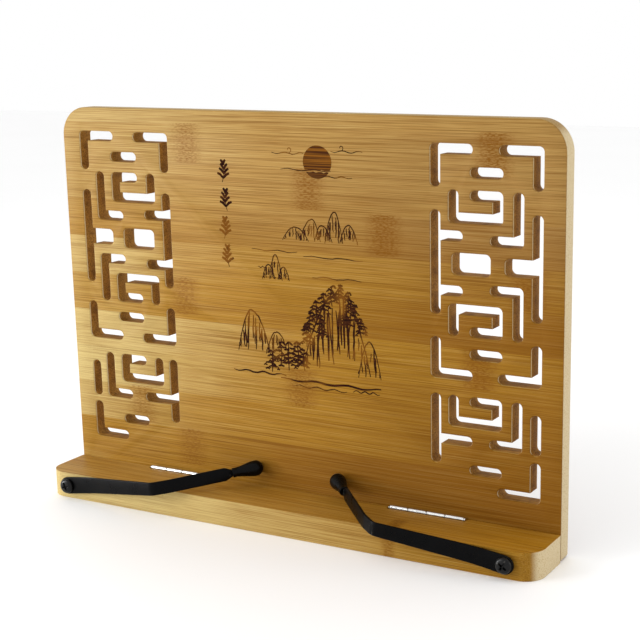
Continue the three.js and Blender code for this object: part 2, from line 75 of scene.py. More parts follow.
GAP = 0.3
CUTTER = 6
COLUMN = {"a": 92.4, "b": 103.5, "c": 116.8, "d": 130.3, "e": 142.6, "f": 153.9}
END = {"stub": 106.1, "bar": 112.1, "foot": 129, "arm": 134.1, "key": 137.8}
UPPER_MIDDLE = 165
STEP = {"foot": 13.8, "stub": 15.5, "inner": 25.7, "outer": 38.2, "dash": 50.9, "edge": 63.4}
TAIL = {"long": 26.6, "short": 45.4}
KEY = {"height": 9.9, "block": 12.6, "inner": 102.7, "outer": 126}
LOWER = {"top": 86.4, "tail_top": 80.2, "middle": 74.1, "foot": 62.8,
         "tail_low": 52.7, "bar_end": 51.1, "dash": 46.2, "edge": 34.8}
TOP_RADIUS = 18
BOTTOM_RADIUS = 2
SHELF_RADIUS = 12

HINGE = {"middle": 87.2, "length": 48.4, "knuckles": 4, "radius": 1.7, "bore": 0.85, "pin": 0.7}
PIN_HEAD = {"radius": 1.4, "height": 0.8}
LEAF = {"thickness": 1.0, "foot": 3.2, "top": 14.2}
CLIP = {"thickness": 1.5, "hub": 11, "end": 8.2, "pitch": 9.1}
CLIP_BEND = {"hub": (16, 0), "front": (76.2, -11), "turn": (85.1, -5.2)}  # along it, and off its plane
CLIP_BEND_RADII = [12, 2.5, 2.5]
SHOULDER = {"length": 4.5, "height": 4.8}
TONGUE = {"height": 3.8, "start": -2, "end": 9}  # runs on inside the rubber tip
TIP = {"length": 19.4, "ball": 4.9, "neck": 3.0, "x": 124}
PROP = {"wire": 2.2, "half_width": 50, "bend": 6, "leg": 142, "end_x": 78, "toe": 9.5, "toe_angle": 52}
SLEEVE = {"radius": 3.4, "length": 60}
SADDLE = {"x": 65, "width": 12, "strap": 1.2, "foot": 9.6, "screw": 8.6}
PAN_SCREW = {"radius": 4.75, "height": 2.4, "shank": 1.9, "length": 17}
SADDLE_SCREW = {"radius": 2.8, "height": 1.6, "shank": 1.1, "length": 9}
RECESS = {"mouth": (0.74, 0.17), "floor": (0.4, 0.08)}  # reach and half width, in head radii

# ---- what only the looks need, in millimetres ----

EASE = {"board": 1.4, "fretwork": 0.7, "shelf": 1.3, "saddle": 0.22}  # the rounding of edges
SHELF_BACK_RADIUS = 0.8
POCKET = {"depth": 3.9, "radius": 0.4, "past": 3, "above": 2}  # past and above: clear of the wood
KNUCKLE_EASE = 0.4
LEAF_RADIUS = {"foot": 2, "top": 0.3}
STRIP_EDGE = 0.45
TIP_RIM = {"ease": 0.4, "end": 2.2}
WIRE_END = {"ease": 0.28, "size": 0.72}  # in wire radii
SADDLE_CORNER = {"up": 0.6, "in": 0.4}  # of the slope from the strap to its feet
GROOVE = {"count": 4, "first": 3, "pitch": 2.4, "depth": 0.35, "half": 0.5}
SCREW_TURN = {"left": 20, "right": -35}  # of its cross, in degrees

CUTTER_PAST = 1 * MM  # how far a cutter runs on outside the wood
INK_ROOT = 0.08 * MM  # how deep the burned lines are let in
INK_PROUD = 0.02 * MM
INK_STEP = 4e-8  # each line stands out this much further, so that no two share a plane
SUN_PROUD = 0.012 * MM
SUN = {"x": 17, "z": 218, "radius": 9.6, "arcs": ((-29, 209), (217, 323))}

# The landscape, in millimetres across and up the board.
CLOUDS = ((-14, 8, 222.5), (-8, 26, 213.2), (26, 47, 224.5), (20, 40, 209.8))  # from, to, height
CLOUD_CURLS = ((-2, 222.8, 1.7), (33, 225.0, 1.6))
LAKE_LINES = ((-30, 2, 164.5), (6, 46, 162.5), (-26, -20, 154), (12, 45, 150.5))
FAR_PEAKS = ((-8, 10, 8, 0.5), (4, 18, 13, 0.6), (14, 26, 10, 0.4),
             (21, 33, 18, 0.55), (31, 43, 11, 0.5))  # from, to, height, lean
MIDDLE_PEAKS = ((-23, -14, 9), (-18, -9, 15), (-12, -4, 8))  # from, to, height
NEAR_PEAKS = ((-42, -19, 101, 26, 0.45, 15, 0.9), (-22, -6, 101, 14, 0.5, 9, 0.7),
              (4, 50, 95, 47, 0.55, 24, 1.05), (42, 57, 93, 22, 0.5, 8, 0.7))  # as for mountain()
HILL_PINES = ((7, 108, 13), (10, 116, 13), (14, 122, 14), (19, 128, 13), (25, 134, 12), (30, 137, 10),
              (36, 131, 12), (40, 124, 12), (44, 117, 11), (34, 122, 10), (17, 114, 11))
SHORE_PINES = ((-18, 90, 13), (-12, 94, 15), (-6, 92, 17), (0, 95, 15), (5, 93, 13))  # foot, height
SHORE = ((-46, -8, 88.8, 1.1), (-12, 57, 86.6, 1.4), (-4, 34, 83.2, 0.7), (38, 56, 84.2, 0.8))
SPRIGS = {"count": 4, "x": -48, "top": 210, "pitch": 17, "size": 13, "lean": 6}

# ---- the bamboo ----


def srgb(red, green, blue):
    """A colour given as it looks on screen, 0 to 255, as linear RGBA."""
    linear = [((c / 255 + 0.055) / 1.055) ** 2.4 for c in (red, green, blue)]
    return (*linear, 1.0)


BAMBOO_PALE = srgb(204, 182, 126)
BAMBOO_LIGHT = srgb(188, 167, 110)
BAMBOO_MID = srgb(149, 108, 32)
# Painted bounce: the orange that tints faces looking up, standing for light thrown back from the board.
BAMBOO_PAINTED_BOUNCE = srgb(176, 120, 20)
# Painted sheen: the paler, greyer tan mixed in near the board's top, standing for light reflected from
# above.
BAMBOO_PAINTED_SHEEN = srgb(170, 143, 95)
BAMBOO_DARK = srgb(113, 69, 12)
BAMBOO_FIBRE = srgb(94, 55, 8)
BAMBOO_END = srgb(206, 190, 154)

# Strips run along X, side by side along the axis numbered "across". Sizes are in millimetres. A tone
# is how dark a strip is: 0 is light, 1 is mid and 2 is dark. "right" is painted shade that the right end
# adds to it, at the board's foot and top. Faces that look up get painted light and shade: the first level
# key shifts their tone and the second tints them orange like light bounced off the board. Nodes are
# joints of the stem.
BOARD_WOOD = {
    "across": 2, "start": -3, "strip": 24,
    "tones": [0.8, 0.75, 0.38, 0.22, 0.2, 0.65, 0.42, 0.92, 0.65, 0.55, 0.45],
    "right": (1.6, 0.8),
    "nodes": [(-75, 226), (-81, 132), (-80, 34), (10, 202), (60, 178), (2, 82),
              (119, 106), (149, 154), (128, 226), (-118, 58)],
    "node_reach": 15,
    "level_painted_light": -0.2, "level_painted_bounce": 0.0,
}
SHELF_WOOD = {
    "across": 1, "start": -17.5, "strip": 17.5,
    "tones": [-0.6, -0.5],
    "right": (1.0, 1.0),
    "nodes": [(79, -9)],
    "node_reach": 6,
    "level_painted_light": 0.45, "level_painted_bounce": 0.55,
}

# ---- the stage, in metres and degrees ----

CAMERA = {"azimuth": 27.994, "elevation": 13.112, "roll": -0.657, "lens": 79.37,
          "shift_x": -0.1179, "shift_y": 0.0375, "eye": (0.43766, -0.68037, 0.29972)}
LIGHTS = (  # name, place, size, power
    ("key", (-0.9, -0.95, 0.6), 0.6, 7),
    ("side", (-1.0, -0.62, 0.1), 0.25, 7),
    ("rim", (1.3, 0.5, 0.5), 0.6, 3),
)
LIGHT_TARGET = Vector((0, 0, 0.1))
FLOOR = {"half": 3000, "low": -10.1, "high": -0.1}  # in millimetres, just below the stand's foot


# ---- node materials ----


class Shader:
    """A material's nodes, made one line at a time."""

    def __init__(self, name):
        self.material = bpy.data.materials.new(name)
        self.material.use_nodes = True
        self.tree = self.material.node_tree
        self.tree.nodes.clear()
        self.surface = self.add("ShaderNodeBsdfPrincipled")
        self.add("ShaderNodeOutputMaterial", {"Surface": self.surface.outputs[0]})
        self.place = self.add("ShaderNodeTexCoord").outputs["Object"]

    def fill(self, socket, value):
        """Links another node's output to the socket, or sets it to a constant."""
        if isinstance(value, bpy.types.NodeSocket):
            self.tree.links.new(value, socket)
        else:
            socket.default_value = value

    def add(self, kind, inputs=None, **settings):
        """A new node, with its inputs by name or number."""
        node = self.tree.nodes.new(kind)
        for key, value in settings.items():
            setattr(node, key, value)
        for key, value in (inputs or {}).items():
            self.fill(node.inputs[key], value)
        return node

    def set(self, **values):
        """Fills the surface's own inputs, named with _ for each space."""
        for key, value in values.items():
            self.fill(self.surface.inputs[key.replace("_", " ")], value)

    def math(self, operation, a, b=0.0):
        return self.add("ShaderNodeMath", {0: a, 1: b}, operation=operation).outputs[0]

    def parts(self, vector):
        """The vector's X, Y and Z."""
        return self.add("ShaderNodeSeparateXYZ", {0: vector}).outputs

    def noise(self, scale, detail=2.0, roughness=0.5, vector=None):
        """Noise over the vector, or the object's own coordinates: more is finer along that axis."""
        vector = self.place if vector is None else vector
        scaled = self.add("ShaderNodeVectorMath", {0: vector, 1: scale}, operation="MULTIPLY")
        values = {"Vector": scaled.outputs[0], "Scale": 1.0, "Detail": detail, "Roughness": roughness}
        return self.add("ShaderNodeTexNoise", values).outputs["Fac"]

    def ramp(self, value, low, high, out_low=0.0, out_high=1.0):
        """Takes low to out_low and high to out_high, smoothly, and stays flat beyond them."""
        values = {"Value": value, "From Min": low, "From Max": high,
                  "To Min": out_low, "To Max": out_high}
        return self.add("ShaderNodeMapRange", values, interpolation_type="SMOOTHSTEP").outputs[0]

    def mix(self, factor, a, b):
        """Colour a at factor 0, and colour b at factor 1."""
        node = self.add("ShaderNodeMix", {"Factor": factor}, data_type="RGBA")
        self.fill(node.inputs[6], a)
        self.fill(node.inputs[7], b)
        return node.outputs[2]

    def bump(self, height, strength, distance):
        values = {"Height": height, "Strength": strength, "Distance": distance}
        self.set(Normal=self.add("ShaderNodeBump", values).outputs[0])


def strip_tone(shader, row, tones):
    """Each strip's own darkness, by its number."""
    place = shader.math("DIVIDE", shader.math("ADD", row, 0.5), len(tones))
    steps = shader.add("ShaderNodeValToRGB", {0: place})
    steps.color_ramp.interpolation = "CONSTANT"
    elements = steps.color_ramp.elements
    while len(elements) < len(tones):
        elements.new(1.0)
    for k, tone in enumerate(tones):
        elements[k].position = k / len(tones)
        elements[k].color = (tone, tone, tone, 1)
    return steps.outputs[0]


def bamboo_tone(shader, place, row, level, wood):
    """How dark the bamboo is: strips differ and drift along their length; painted shade darkens the
    right.
    """
    spot = shader.add("ShaderNodeCombineXYZ", {0: place[0], 2: row}).outputs[0]
    wander = shader.noise((9.0, 1.0, 3.7), vector=spot)
    drift = shader.ramp(wander, 0.3, 0.7, -0.12, 0.12)
    # Painted shade: darker towards the right end, by the wood's "right" at the foot and top, less on
    # faces that look up.
    right = shader.ramp(place[2], 0.0, BOARD_TOP, *wood["right"])
    right = shader.math("MULTIPLY", shader.ramp(place[0], -0.2, 0.2), right)
    right = shader.math("MULTIPLY", right, shader.ramp(level, 0.0, 1.0, 1.0, 0.4))
    tone = shader.math("ADD", strip_tone(shader, row, wood["tones"]), shader.math("ADD", drift, right))
    # Painted light and shade: faces that look up shift their tone by the wood's first level key.
    return shader.math("ADD", tone, shader.math("MULTIPLY", level, wood["level_painted_light"]))


def bamboo_colour(shader, tone, painted_bounce, height, fibre, fine):
    """From light to dark by the tone, with a painted bounce on faces that look up, a painted sheen near
    the top, and darker and lighter fibres.
    """
    broad = shader.noise((4, 300, 300))
    colour = shader.mix(shader.ramp(tone, 0.0, 1.0), BAMBOO_LIGHT, BAMBOO_MID)
    colour = shader.mix(shader.ramp(tone, 0.9, 1.9, 0.0, 0.75), colour, BAMBOO_DARK)
    # Painted bounce on faces that look up.
    colour = shader.mix(painted_bounce, colour, BAMBOO_PAINTED_BOUNCE)
    # Painted sheen: paler and greyer towards the board's top.
    colour = shader.mix(shader.ramp(height, 0.13, 0.22, 0.0, 0.4), colour, BAMBOO_PAINTED_SHEEN)
    colour = shader.mix(shader.ramp(broad, 0.5, 0.7, 0.0, 0.2), colour, BAMBOO_DARK)
    shade = shader.ramp(tone, -0.6, 1.1, 0.12, 0.58)
    shade = shader.math("MULTIPLY", shader.ramp(fibre, 0.5, 0.66), shade)
    glint = shader.ramp(tone, 0.3, 1.5, 0.3, 0.1)
    glint = shader.math("MULTIPLY", shader.ramp(fibre, 0.48, 0.34), glint)
    colour = shader.mix(shade, colour, BAMBOO_FIBRE)
    colour = shader.mix(glint, colour, BAMBOO_LIGHT)
    colour = shader.mix(shader.ramp(fine, 0.48, 0.66, 0.0, 0.5), colour, BAMBOO_DARK)
    return shader.mix(shader.ramp(tone, 0.15, -0.6, 0.0, 0.8), colour, BAMBOO_PALE)


def node_patches(shader, place, side, wood):
    """A mask of the places where a strip was cut through a joint of the bamboo."""
    strip = wood["strip"] * MM
    reach = wood["node_reach"] * MM
    patch = None
    for x, centre in wood["nodes"]:
        near = shader.math("ABSOLUTE", shader.math("SUBTRACT", place[0], x * MM))
        beside = shader.math("ABSOLUTE", shader.math("SUBTRACT", side, centre * MM))
        inside = shader.ramp(beside, strip * 0.52, strip * 0.47)
        one = shader.math("MULTIPLY", shader.ramp(near, reach, reach * 0.1), inside)
        patch = one if patch is None else shader.math("MAXIMUM", patch, one)
    return shader.math("MULTIPLY", patch, shader.ramp(place[0], -0.12, 0.1, 0.6, 1.0))


def marked(shader, colour, patch):
    """Darkens the node patches and mottles them."""
    mottle = shader.noise((420, 1600, 1600))
    fleck = shader.math("MULTIPLY", shader.ramp(mottle, 0.46, 0.58), patch)
    colour = shader.mix(shader.math("MULTIPLY", patch, 0.38), colour, BAMBOO_DARK)
    return shader.mix(shader.math("MULTIPLY", fleck, 0.9), colour, BAMBOO_DARK)


def end_grained(shader, colour, facing_x):
    """Paler, and dotted with the ends of the fibres, where a face looks along X."""
    across_fibres = shader.ramp(shader.math("ABSOLUTE", facing_x), 0.55, 0.9)
    dots = shader.noise((60, 1500, 1500))
    end_colour = shader.mix(shader.ramp(dots, 0.52, 0.66, 0.0, 0.5), BAMBOO_END, BAMBOO_MID)
    return shader.mix(shader.math("MULTIPLY", across_fibres, 0.85), colour, end_colour)


def bamboo(name, wood):
    """Laminated bamboo with its fibres along X, in strips of one width."""
    shader = Shader(name)
    place = shader.parts(shader.place)
    facing = shader.parts(shader.add("ShaderNodeNewGeometry").outputs["Normal"])
    side = place[wood["across"]]
    strips = shader.math("SUBTRACT", side, wood["start"] * MM)
    row = shader.math("FLOOR", shader.math("DIVIDE", strips, wood["strip"] * MM))
    # Faces that look up get painted light and shade, and a painted orange bounce.
    level = shader.ramp(facing[2], 0.6, 0.9)
    tone = bamboo_tone(shader, place, row, level, wood)
    painted_bounce = shader.math("MULTIPLY", level, wood["level_painted_bounce"])
    fibre = shader.noise((13, 2700, 2700))
    fine = shader.noise((30, 3600, 3600), 2.0, 0.6)

    colour = bamboo_colour(shader, tone, painted_bounce, place[2], fibre, fine)
    colour = marked(shader, colour, node_patches(shader, place, side, wood))
    colour = end_grained(shader, colour, facing[0])
    shader.set(Base_Color=colour, Specular_IOR_Level=0.05)
    shader.set(Roughness=shader.ramp(fine, 0.2, 0.8, 0.36, 0.54))
    shader.bump(shader.math("ADD", fine, fibre), 0.2, 0.0002)
    return shader.material


def cut_bamboo():
    """The walls of the fretwork: raw, darkened by the cutter, streaked along X."""
    shader = Shader("cut_bamboo")
    streak = shader.noise((60, 1200, 1500), 3.0, 0.6)
    scorch = shader.noise((160, 90, 160))
    colour = shader.mix(shader.ramp(streak, 0.35, 0.7), srgb(170, 122, 50), srgb(114, 75, 24))
    colour = shader.mix(shader.ramp(scorch, 0.45, 0.75, 0.0, 0.5), colour, srgb(96, 60, 24))
    shader.set(Base_Color=colour, Roughness=0.68, Specular_IOR_Level=0.1)
    shader.bump(streak, 0.35, 0.0003)
    return shader.material


def burnt_wood():
    """Scorched lines: near black where the burner dwelt, brown where it passed lightly."""
    shader = Shader("burnt_wood")
    streak = shader.noise((90, 900, 1100), 3.0, 0.6)
    light_touch = shader.noise((50, 50, 50), 1.0)
    colour = shader.mix(shader.ramp(streak, 0.35, 0.75), srgb(30, 10, 4), srgb(62, 30, 10))
    colour = shader.mix(shader.ramp(light_touch, 0.48, 0.62, 0.0, 0.85), colour, srgb(112, 68, 18))
    shader.set(Base_Color=colour, Roughness=0.75, Specular_IOR_Level=0.04)
    shader.bump(streak, 0.3, 0.0002)
    return shader.material


def scorched_wood():
    """The sun's disc: bamboo toasted evenly, so its fibres still show, and darker in its lower part."""
    shader = Shader("scorched_wood")
    streak = shader.noise((12, 1500, 1500), 3.0, 0.6)
    height = shader.parts(shader.place)[2]
    lower = shader.ramp(height, (SUN["z"] - 3.5) * MM, (SUN["z"] - 5.5) * MM, 0.0, 0.6)
    colour = shader.mix(shader.ramp(streak, 0.4, 0.62), srgb(114, 69, 14), srgb(58, 28, 4))
    colour = shader.mix(lower, colour, srgb(48, 22, 6))
    shader.set(Base_Color=colour, Roughness=0.6, Specular_IOR_Level=0.04)
    shader.bump(streak, 0.25, 0.0002)
    return shader.material


def metal(name, colour, roughness, grain_scale):
    """Bare metal with a fine grain and faint dull smears."""
    shader = Shader(name)
    grain = shader.noise(grain_scale, 3.0, 0.6)
    smear = shader.noise((130, 130, 130))
    tinted = shader.mix(shader.ramp(smear, 0.35, 0.75, 0.0, 0.25), colour, srgb(150, 148, 142))
    rough = shader.math("ADD", shader.ramp(grain, 0.3, 0.7, -0.05, 0.07), roughness)
    shader.set(Base_Color=tinted, Metallic=1.0, Roughness=rough)
    shader.bump(grain, 0.12, 0.0001)
    return shader.material


def black_paint(name, gloss):
    """Satin black paint with an orange-peel skin and edges rubbed to grey."""
    shader = Shader(name)
    peel = shader.noise((1400, 1400, 1400))
    smear = shader.noise((120, 120, 120), 3.0)
    edge = shader.add("ShaderNodeNewGeometry").outputs["Pointiness"]
    worn = shader.math("MULTIPLY", shader.ramp(edge, 0.53, 0.6), shader.ramp(smear, 0.45, 0.6))
    colour = shader.mix(shader.ramp(smear, 0.3, 0.7), srgb(2, 2, 3), srgb(6, 6, 7))
    colour = shader.mix(shader.math("MULTIPLY", worn, 0.5), colour, srgb(78, 76, 72))
    shader.set(Base_Color=colour, Specular_IOR_Level=gloss)
    shader.set(Roughness=shader.ramp(smear, 0.3, 0.7, 0.26, 0.36))
    shader.bump(peel, 0.12, 0.00008)
    return shader.material


def soft_rubber():
    """Dull black rubber with a little dust on it."""
    shader = Shader("soft_rubber")
    grain = shader.noise((2200, 2200, 2200))
    dust = shader.noise((160, 160, 160), 3.0)
    colour = shader.mix(shader.ramp(dust, 0.35, 0.75), srgb(3, 3, 3), srgb(10, 10, 9))
    shader.set(Base_Color=colour, Specular_IOR_Level=0.08)
    shader.set(Roughness=shader.ramp(dust, 0.3, 0.7, 0.22, 0.34))
    shader.bump(grain, 0.15, 0.00008)
    return shader.material


def pale_floor():
    """Matt white, very faintly clouded."""
    shader = Shader("pale_floor")
    cloud = shader.ramp(shader.noise((3, 3, 3)), 0.3, 0.7, 0.0, 0.05)
    colour = shader.mix(cloud, srgb(252, 252, 252), srgb(225, 225, 225))
    shader.set(Base_Color=colour, Roughness=0.6)
    return shader.material


board_bamboo = bamboo("board_bamboo", BOARD_WOOD)
shelf_bamboo = bamboo("shelf_bamboo", SHELF_WOOD)
cut_wood = cut_bamboo()
burnt = burnt_wood()
scorched = scorched_wood()
chrome = metal("bright_chrome", srgb(232, 232, 230), 0.14, (500, 900, 900))
zinc = metal("zinc_screws", srgb(196, 196, 190), 0.34, (700, 700, 700))
wire_steel = metal("wire_steel", srgb(186, 187, 186), 0.28, (300, 1500, 300))
paint = black_paint("black_paint", 0.06)
screw_black = black_paint("black_screw", 0.22)
rubber = soft_rubber()


# ---- mesh helpers ----

SHARP = radians(32)  # faces that meet at more than this keep a crisp edge
CORNER = radians(60)  # and these are the edges that get rounded
SAME_PLANE = 1e-6
SAME_POINT = 1e-7


def finish_mesh(bm, name, materials):
    """An object at the origin, smooth where its faces meet gently."""
    bmesh.ops.recalc_face_normals(bm, faces=bm.faces)
    mesh = bpy.data.meshes.new(name)
    bm.to_mesh(mesh)
    bm.free()
    for material in materials:
        mesh.materials.append(material)
    for polygon in mesh.polygons:
        polygon.use_smooth = True
    mesh.set_sharp_from_angle(angle=SHARP)
    piece = bpy.data.objects.new(name, mesh)
    bpy.context.scene.collection.objects.link(piece)
    return piece


def keep(piece, body, slot, *nodes):
    """The piece rides on the body and stands for those CAD nodes, which it hides. slot is not used."""
    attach(piece, body)
    if nodes:
        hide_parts(*nodes)


def add_piece(bm, name, material, body, slot, *nodes):
    """A piece of one material, finished and kept."""
    keep(finish_mesh(bm, name, [material]), body, slot, *nodes)


def loft(bm, rings, material=0):
    """Skins a list of rings of points, and caps the first and the last."""
    rows = [[bm.verts.new(point) for point in ring] for ring in rings]
    count = len(rows[0])
    for near, far in zip(rows, rows[1:]):
        for k in range(count):
            face = bm.faces.new((near[k], far[k], far[(k + 1) % count], near[(k + 1) % count]))
            face.material_index = material
    bm.faces.new(rows[0]).material_index = material
    bm.faces.new(list(reversed(rows[-1]))).material_index = material


def arc(cx, cy, radius, start, end, steps):
    """Points on an arc, angles in degrees, both ends included."""
    points = []
    for i in range(steps + 1):
        angle = radians(start + (end - start) * i / steps)
        points.append((cx + radius * cos(angle), cy + radius * sin(angle)))
    return points


def rounded_box(x0, x1, z0, z1, radii, steps=8):
    """A rounded rectangle, anticlockwise from its lower right corner. radii go the same way."""
    right_low, right_high, left_high, left_low = radii
    return (
        arc(x1 - right_low, z0 + right_low, right_low, -90, 0, steps)
        + arc(x1 - right_high, z1 - right_high, right_high, 0, 90, steps)
        + arc(x0 + left_high, z1 - left_high, left_high, 90, 180, steps)
        + arc(x0 + left_low, z0 + left_low, left_low, 180, 270, steps)
    )


def slab(bm, outline, low, high, place, material=0):
    """A flat plate: place turns (u, v, depth) into a point."""
    loft(bm, [[place(u, v, d) for u, v in outline] for d in (low, high)], material)


def facing_front(u, v, depth):
    """For a plate that lies along the board: u across, v up, and depth in metres along Y."""
    return Vector((u * MM, depth, v * MM))


def facing_up(u, v, depth):
    """For a plate that lies flat: u across, v back, and depth in metres up."""
    return Vector((u * MM, v * MM, depth))


def ease_edges(bm, planes, axis, width, segments=3):
    """Rounds the sharp edges that lie in these planes."""
    chosen = []
    for edge in bm.edges:
        on_plane = any(all(abs(v.co[axis] - plane) < SAME_PLANE for v in edge.verts) for plane in planes)
        if on_plane and len(edge.link_faces) == 2 and edge.calc_face_angle(0) > CORNER:
            chosen.append(edge)
    bmesh.ops.bevel(bm, geom=chosen, offset=width, segments=segments, profile=0.5,
                    affect="EDGES", clamp_overlap=False)


def cut_away(piece, tool):
    """Subtracts the tool, whose faces' material numbers carry over, and removes it."""
    modifier = piece.modifiers.new("cut", "BOOLEAN")
    modifier.object = tool
    modifier.operation = "DIFFERENCE"
    modifier.solver = "EXACT"
    modifier.use_self = True
    seen = piece.evaluated_get(bpy.context.evaluated_depsgraph_get())
    mesh = bpy.data.meshes.new_from_object(seen)
    mesh.set_sharp_from_angle(angle=SHARP)
    piece.modifiers.clear()
    piece.data = mesh
    bpy.data.objects.remove(tool)


def lathe(bm, profile, place, sides):
    """Turns a profile of (radius, along) round an axis. place turns (u, v, along) into a point."""
    rows = []
    for radius, along in profile:
        if radius < 1e-9:
            rows.append([bm.verts.new(place(0, 0, along))])
            continue
        ring = []
        for k in range(sides):
            angle = 2 * pi * k / sides
            ring.append(bm.verts.new(place(radius * cos(angle), radius * sin(angle), along)))
        rows.append(ring)
    for near, far in zip(rows, rows[1:]):
        for k in range(sides):
            corners = [near[k % len(near)], near[(k + 1) % len(near)],
                       far[(k + 1) % len(far)], far[k % len(far)]]
            unique = list(dict.fromkeys(corners))
            if len(unique) > 2:
                bm.faces.new(unique)


def smooth(t):
    """From 0 to 1, level at both ends."""
    return t * t * (3 - 2 * t)


# ---- backboard ----


def passes(paths):
    """The straight cuts that follow each path from point to point."""
    return [(*near, *far, CUTTER) for path in paths for near, far in zip(path, path[1:])]


def upper_half(up):
    """Half of the upper unit, with up 1 above its middle and -1 below."""
    a, b, c, d, e, f = COLUMN.values()
    foot, stub, inner, outer, dash, edge = STEP.values()
    paths = [
        [(f, TAIL["short"]), (f, edge), (END["arm"], edge)],
        [(a, TAIL["short"]), (a, edge), (END["bar"], edge)],
        [(d, dash), (c, dash)],
        [(e, outer), (e, foot), (END["foot"], foot)],
        [(c, outer), (d, outer), (d, inner), (b, inner), (b, outer)],
        [(a, stub), (END["stub"], stub)],
    ]
    return passes([[(x, UPPER_MIDDLE + up * z) for x, z in path] for path in paths])


def upper_keys():
    """The cuts across the upper unit's middle, two of them wider than the cutter."""
    radius = CUTTER / 2
    middle = UPPER_MIDDLE
    low, high = middle - TAIL["long"], middle + TAIL["long"]
    tails = passes([[(x, low), (x, high)] for x in (COLUMN["f"], COLUMN["a"])])
    return tails + [
        (COLUMN["f"], middle, END["key"], middle, KEY["height"]),
        (KEY["inner"] + radius, middle, KEY["outer"] - radius, middle, KEY["block"]),
    ]


def lower_unit():
    """The smaller unit below."""
    a, b, c, d, e, f = COLUMN.values()
    top, tail_top, middle, foot, tail_low, bar_end, dash, edge = LOWER.values()
    return passes([
        [(f, tail_top), (f, foot)],
        [(f, tail_low), (f, edge), (END["arm"], edge)],
        [(e, top), (e, foot), (END["foot"], foot)],
        [(c, top), (d, top), (d, middle), (b, middle), (b, top)],
        [(a, top), (a, bar_end)],
        [(a, foot), (END["bar"], foot)],
        [(d, dash), (c, dash)],
    ])


def fretwork_cutter():
    """Every pass of the cutter, right through the board, in both columns."""
    radius = CUTTER / 2
    cuts = upper_half(1) + upper_half(-1) + upper_keys() + lower_unit()
    bm = bmesh.new()
    for _, side in SIDES:
        for x0, z0, x1, z1, width in cuts:
            left, right = sorted((side * x0, side * x1))
            low, high = sorted((z0, z1))
            shape = rounded_box(left - radius, right + radius, low - width / 2, high + width / 2,
                                (radius,) * 4)
            slab(bm, shape, BOARD_FRONT - CUTTER_PAST, BOARD_BACK + CUTTER_PAST, facing_front, 1)
    return finish_mesh(bm, "cutter_passes", [board_bamboo, cut_wood])


def backboard():
    """A rounded board with the fretwork cut through it, and every edge eased."""
    faces = (BOARD_FRONT, BOARD_BACK)
    materials = [board_bamboo, cut_wood]
    outline = rounded_box(-HALF_WIDTH / MM, HALF_WIDTH / MM, 0, BOARD_TOP / MM,
                          (BOTTOM_RADIUS, TOP_RADIUS, TOP_RADIUS, BOTTOM_RADIUS), 16)
    bm = bmesh.new()
    slab(bm, outline, BOARD_FRONT, BOARD_BACK, facing_front)
    ease_edges(bm, faces, 1, EASE["board"] * MM, 4)
    blank = finish_mesh(bm, "board_blank", materials)
    cut_away(blank, fretwork_cutter())

    bm = bmesh.new()
    bm.from_mesh(blank.data)
    ease_edges(bm, faces, 1, EASE["fretwork"] * MM)
    bpy.data.objects.remove(blank)
    keep(finish_mesh(bm, "fretwork_board", materials), BODY, "bamboo_board", "backboard")


# ---- burned-in drawing ----


def wave(chance, x0, x1, z, swing=0.5, steps=14):
    """A drifting line, as for water or thin cloud."""
    phase = chance.uniform(0, 6)
    points = []
    for i in range(steps + 1):
        x = x0 + (x1 - x0) * i / steps
        points.append((x, z + swing * sin(phase + i * 0.9) + chance.uniform(-0.12, 0.12)))
    return points


def curl(x, z, radius):
    """A small spiral that ends a cloud line."""
    turns = 0.8
    steps = 12
    points = []
    for i in range(steps + 1):
        angle = 2 * pi * turns * i / steps
        reach = radius * (1 - 0.55 * i / steps)
        points.append((x + reach * sin(angle), z + radius - reach * cos(angle)))
    return points


def peak(chance, x0, x1, foot, height, lean):
    """A steep peak's outline, with its rounded summit at lean between its feet."""
    steps = 18
    points = []
    for i in range(steps + 1):
        t = i / steps
        rise = t / lean if t < lean else (1 - t) / (1 - lean)
        rough = chance.uniform(-0.025, 0.025) * height
        points.append((x0 + (x1 - x0) * t, foot + height * (1 - (1 - rise) ** 2) + rough))
    return points


def folds(chance, outline, foot, count, width):
    """Strokes that run down inside a peak and make its rock."""
    steps = 6
    strokes = []
    for i in range(count):
        x, top = outline[1 + (len(outline) - 3) * i // (count - 1)]
        x += chance.uniform(-0.7, 0.7)
        start = top - chance.uniform(0.02, 0.3) * (top - foot)
        end = foot + chance.uniform(0.0, 0.5) * (top - foot)
        lean = chance.uniform(-0.1, 0.1) * (start - end)
        stroke = []
        for k in range(steps + 1):
            sway = chance.uniform(-0.3, 0.3)
            stroke.append((x + lean * k / steps + sway, start + (end - start) * k / steps))
        strokes.append((stroke, width * chance.uniform(0.7, 1.5)))
    return strokes


def mountain(chance, x0, x1, foot, height, lean, count, width):
    """A peak from x0 to x1 with that many folds."""
    outline = peak(chance, x0, x1, foot, height, lean)
    return [(outline, width * 1.2)] + folds(chance, outline, foot, count, width)


def needles(chance, x, z, reach):
    """One flat tier of a pine's needles, drooping at its ends."""
    strokes = []
    for k in range(-3, 4):
        middle = x + reach * k / 3.4
        level = z - 0.05 * k * k * reach + chance.uniform(-0.45, 0.45)
        half = reach * chance.uniform(0.2, 0.38)
        stroke = [(middle - half, level - 0.35), (middle, level + 0.3), (middle + half, level - 0.35)]
        strokes.append((stroke, chance.uniform(0.8, 1.35)))
    return strokes


def pine(chance, x, z, height):
    """A mountain pine: a bent trunk and flat tiers of needles."""
    bend = chance.uniform(-0.1, 0.1) * height
    strokes = [([(x, z), (x + bend, z + 0.5 * height), (x, z + height)], 0.8)]
    tiers = 5
    for tier in range(tiers):
        share = tier / (tiers - 1)
        offset = chance.uniform(-0.12, 0.12) * height
        reach = height * (0.34 - 0.2 * share)
        strokes += needles(chance, x + offset, z + height * (0.3 + 0.7 * share), reach)
    return strokes


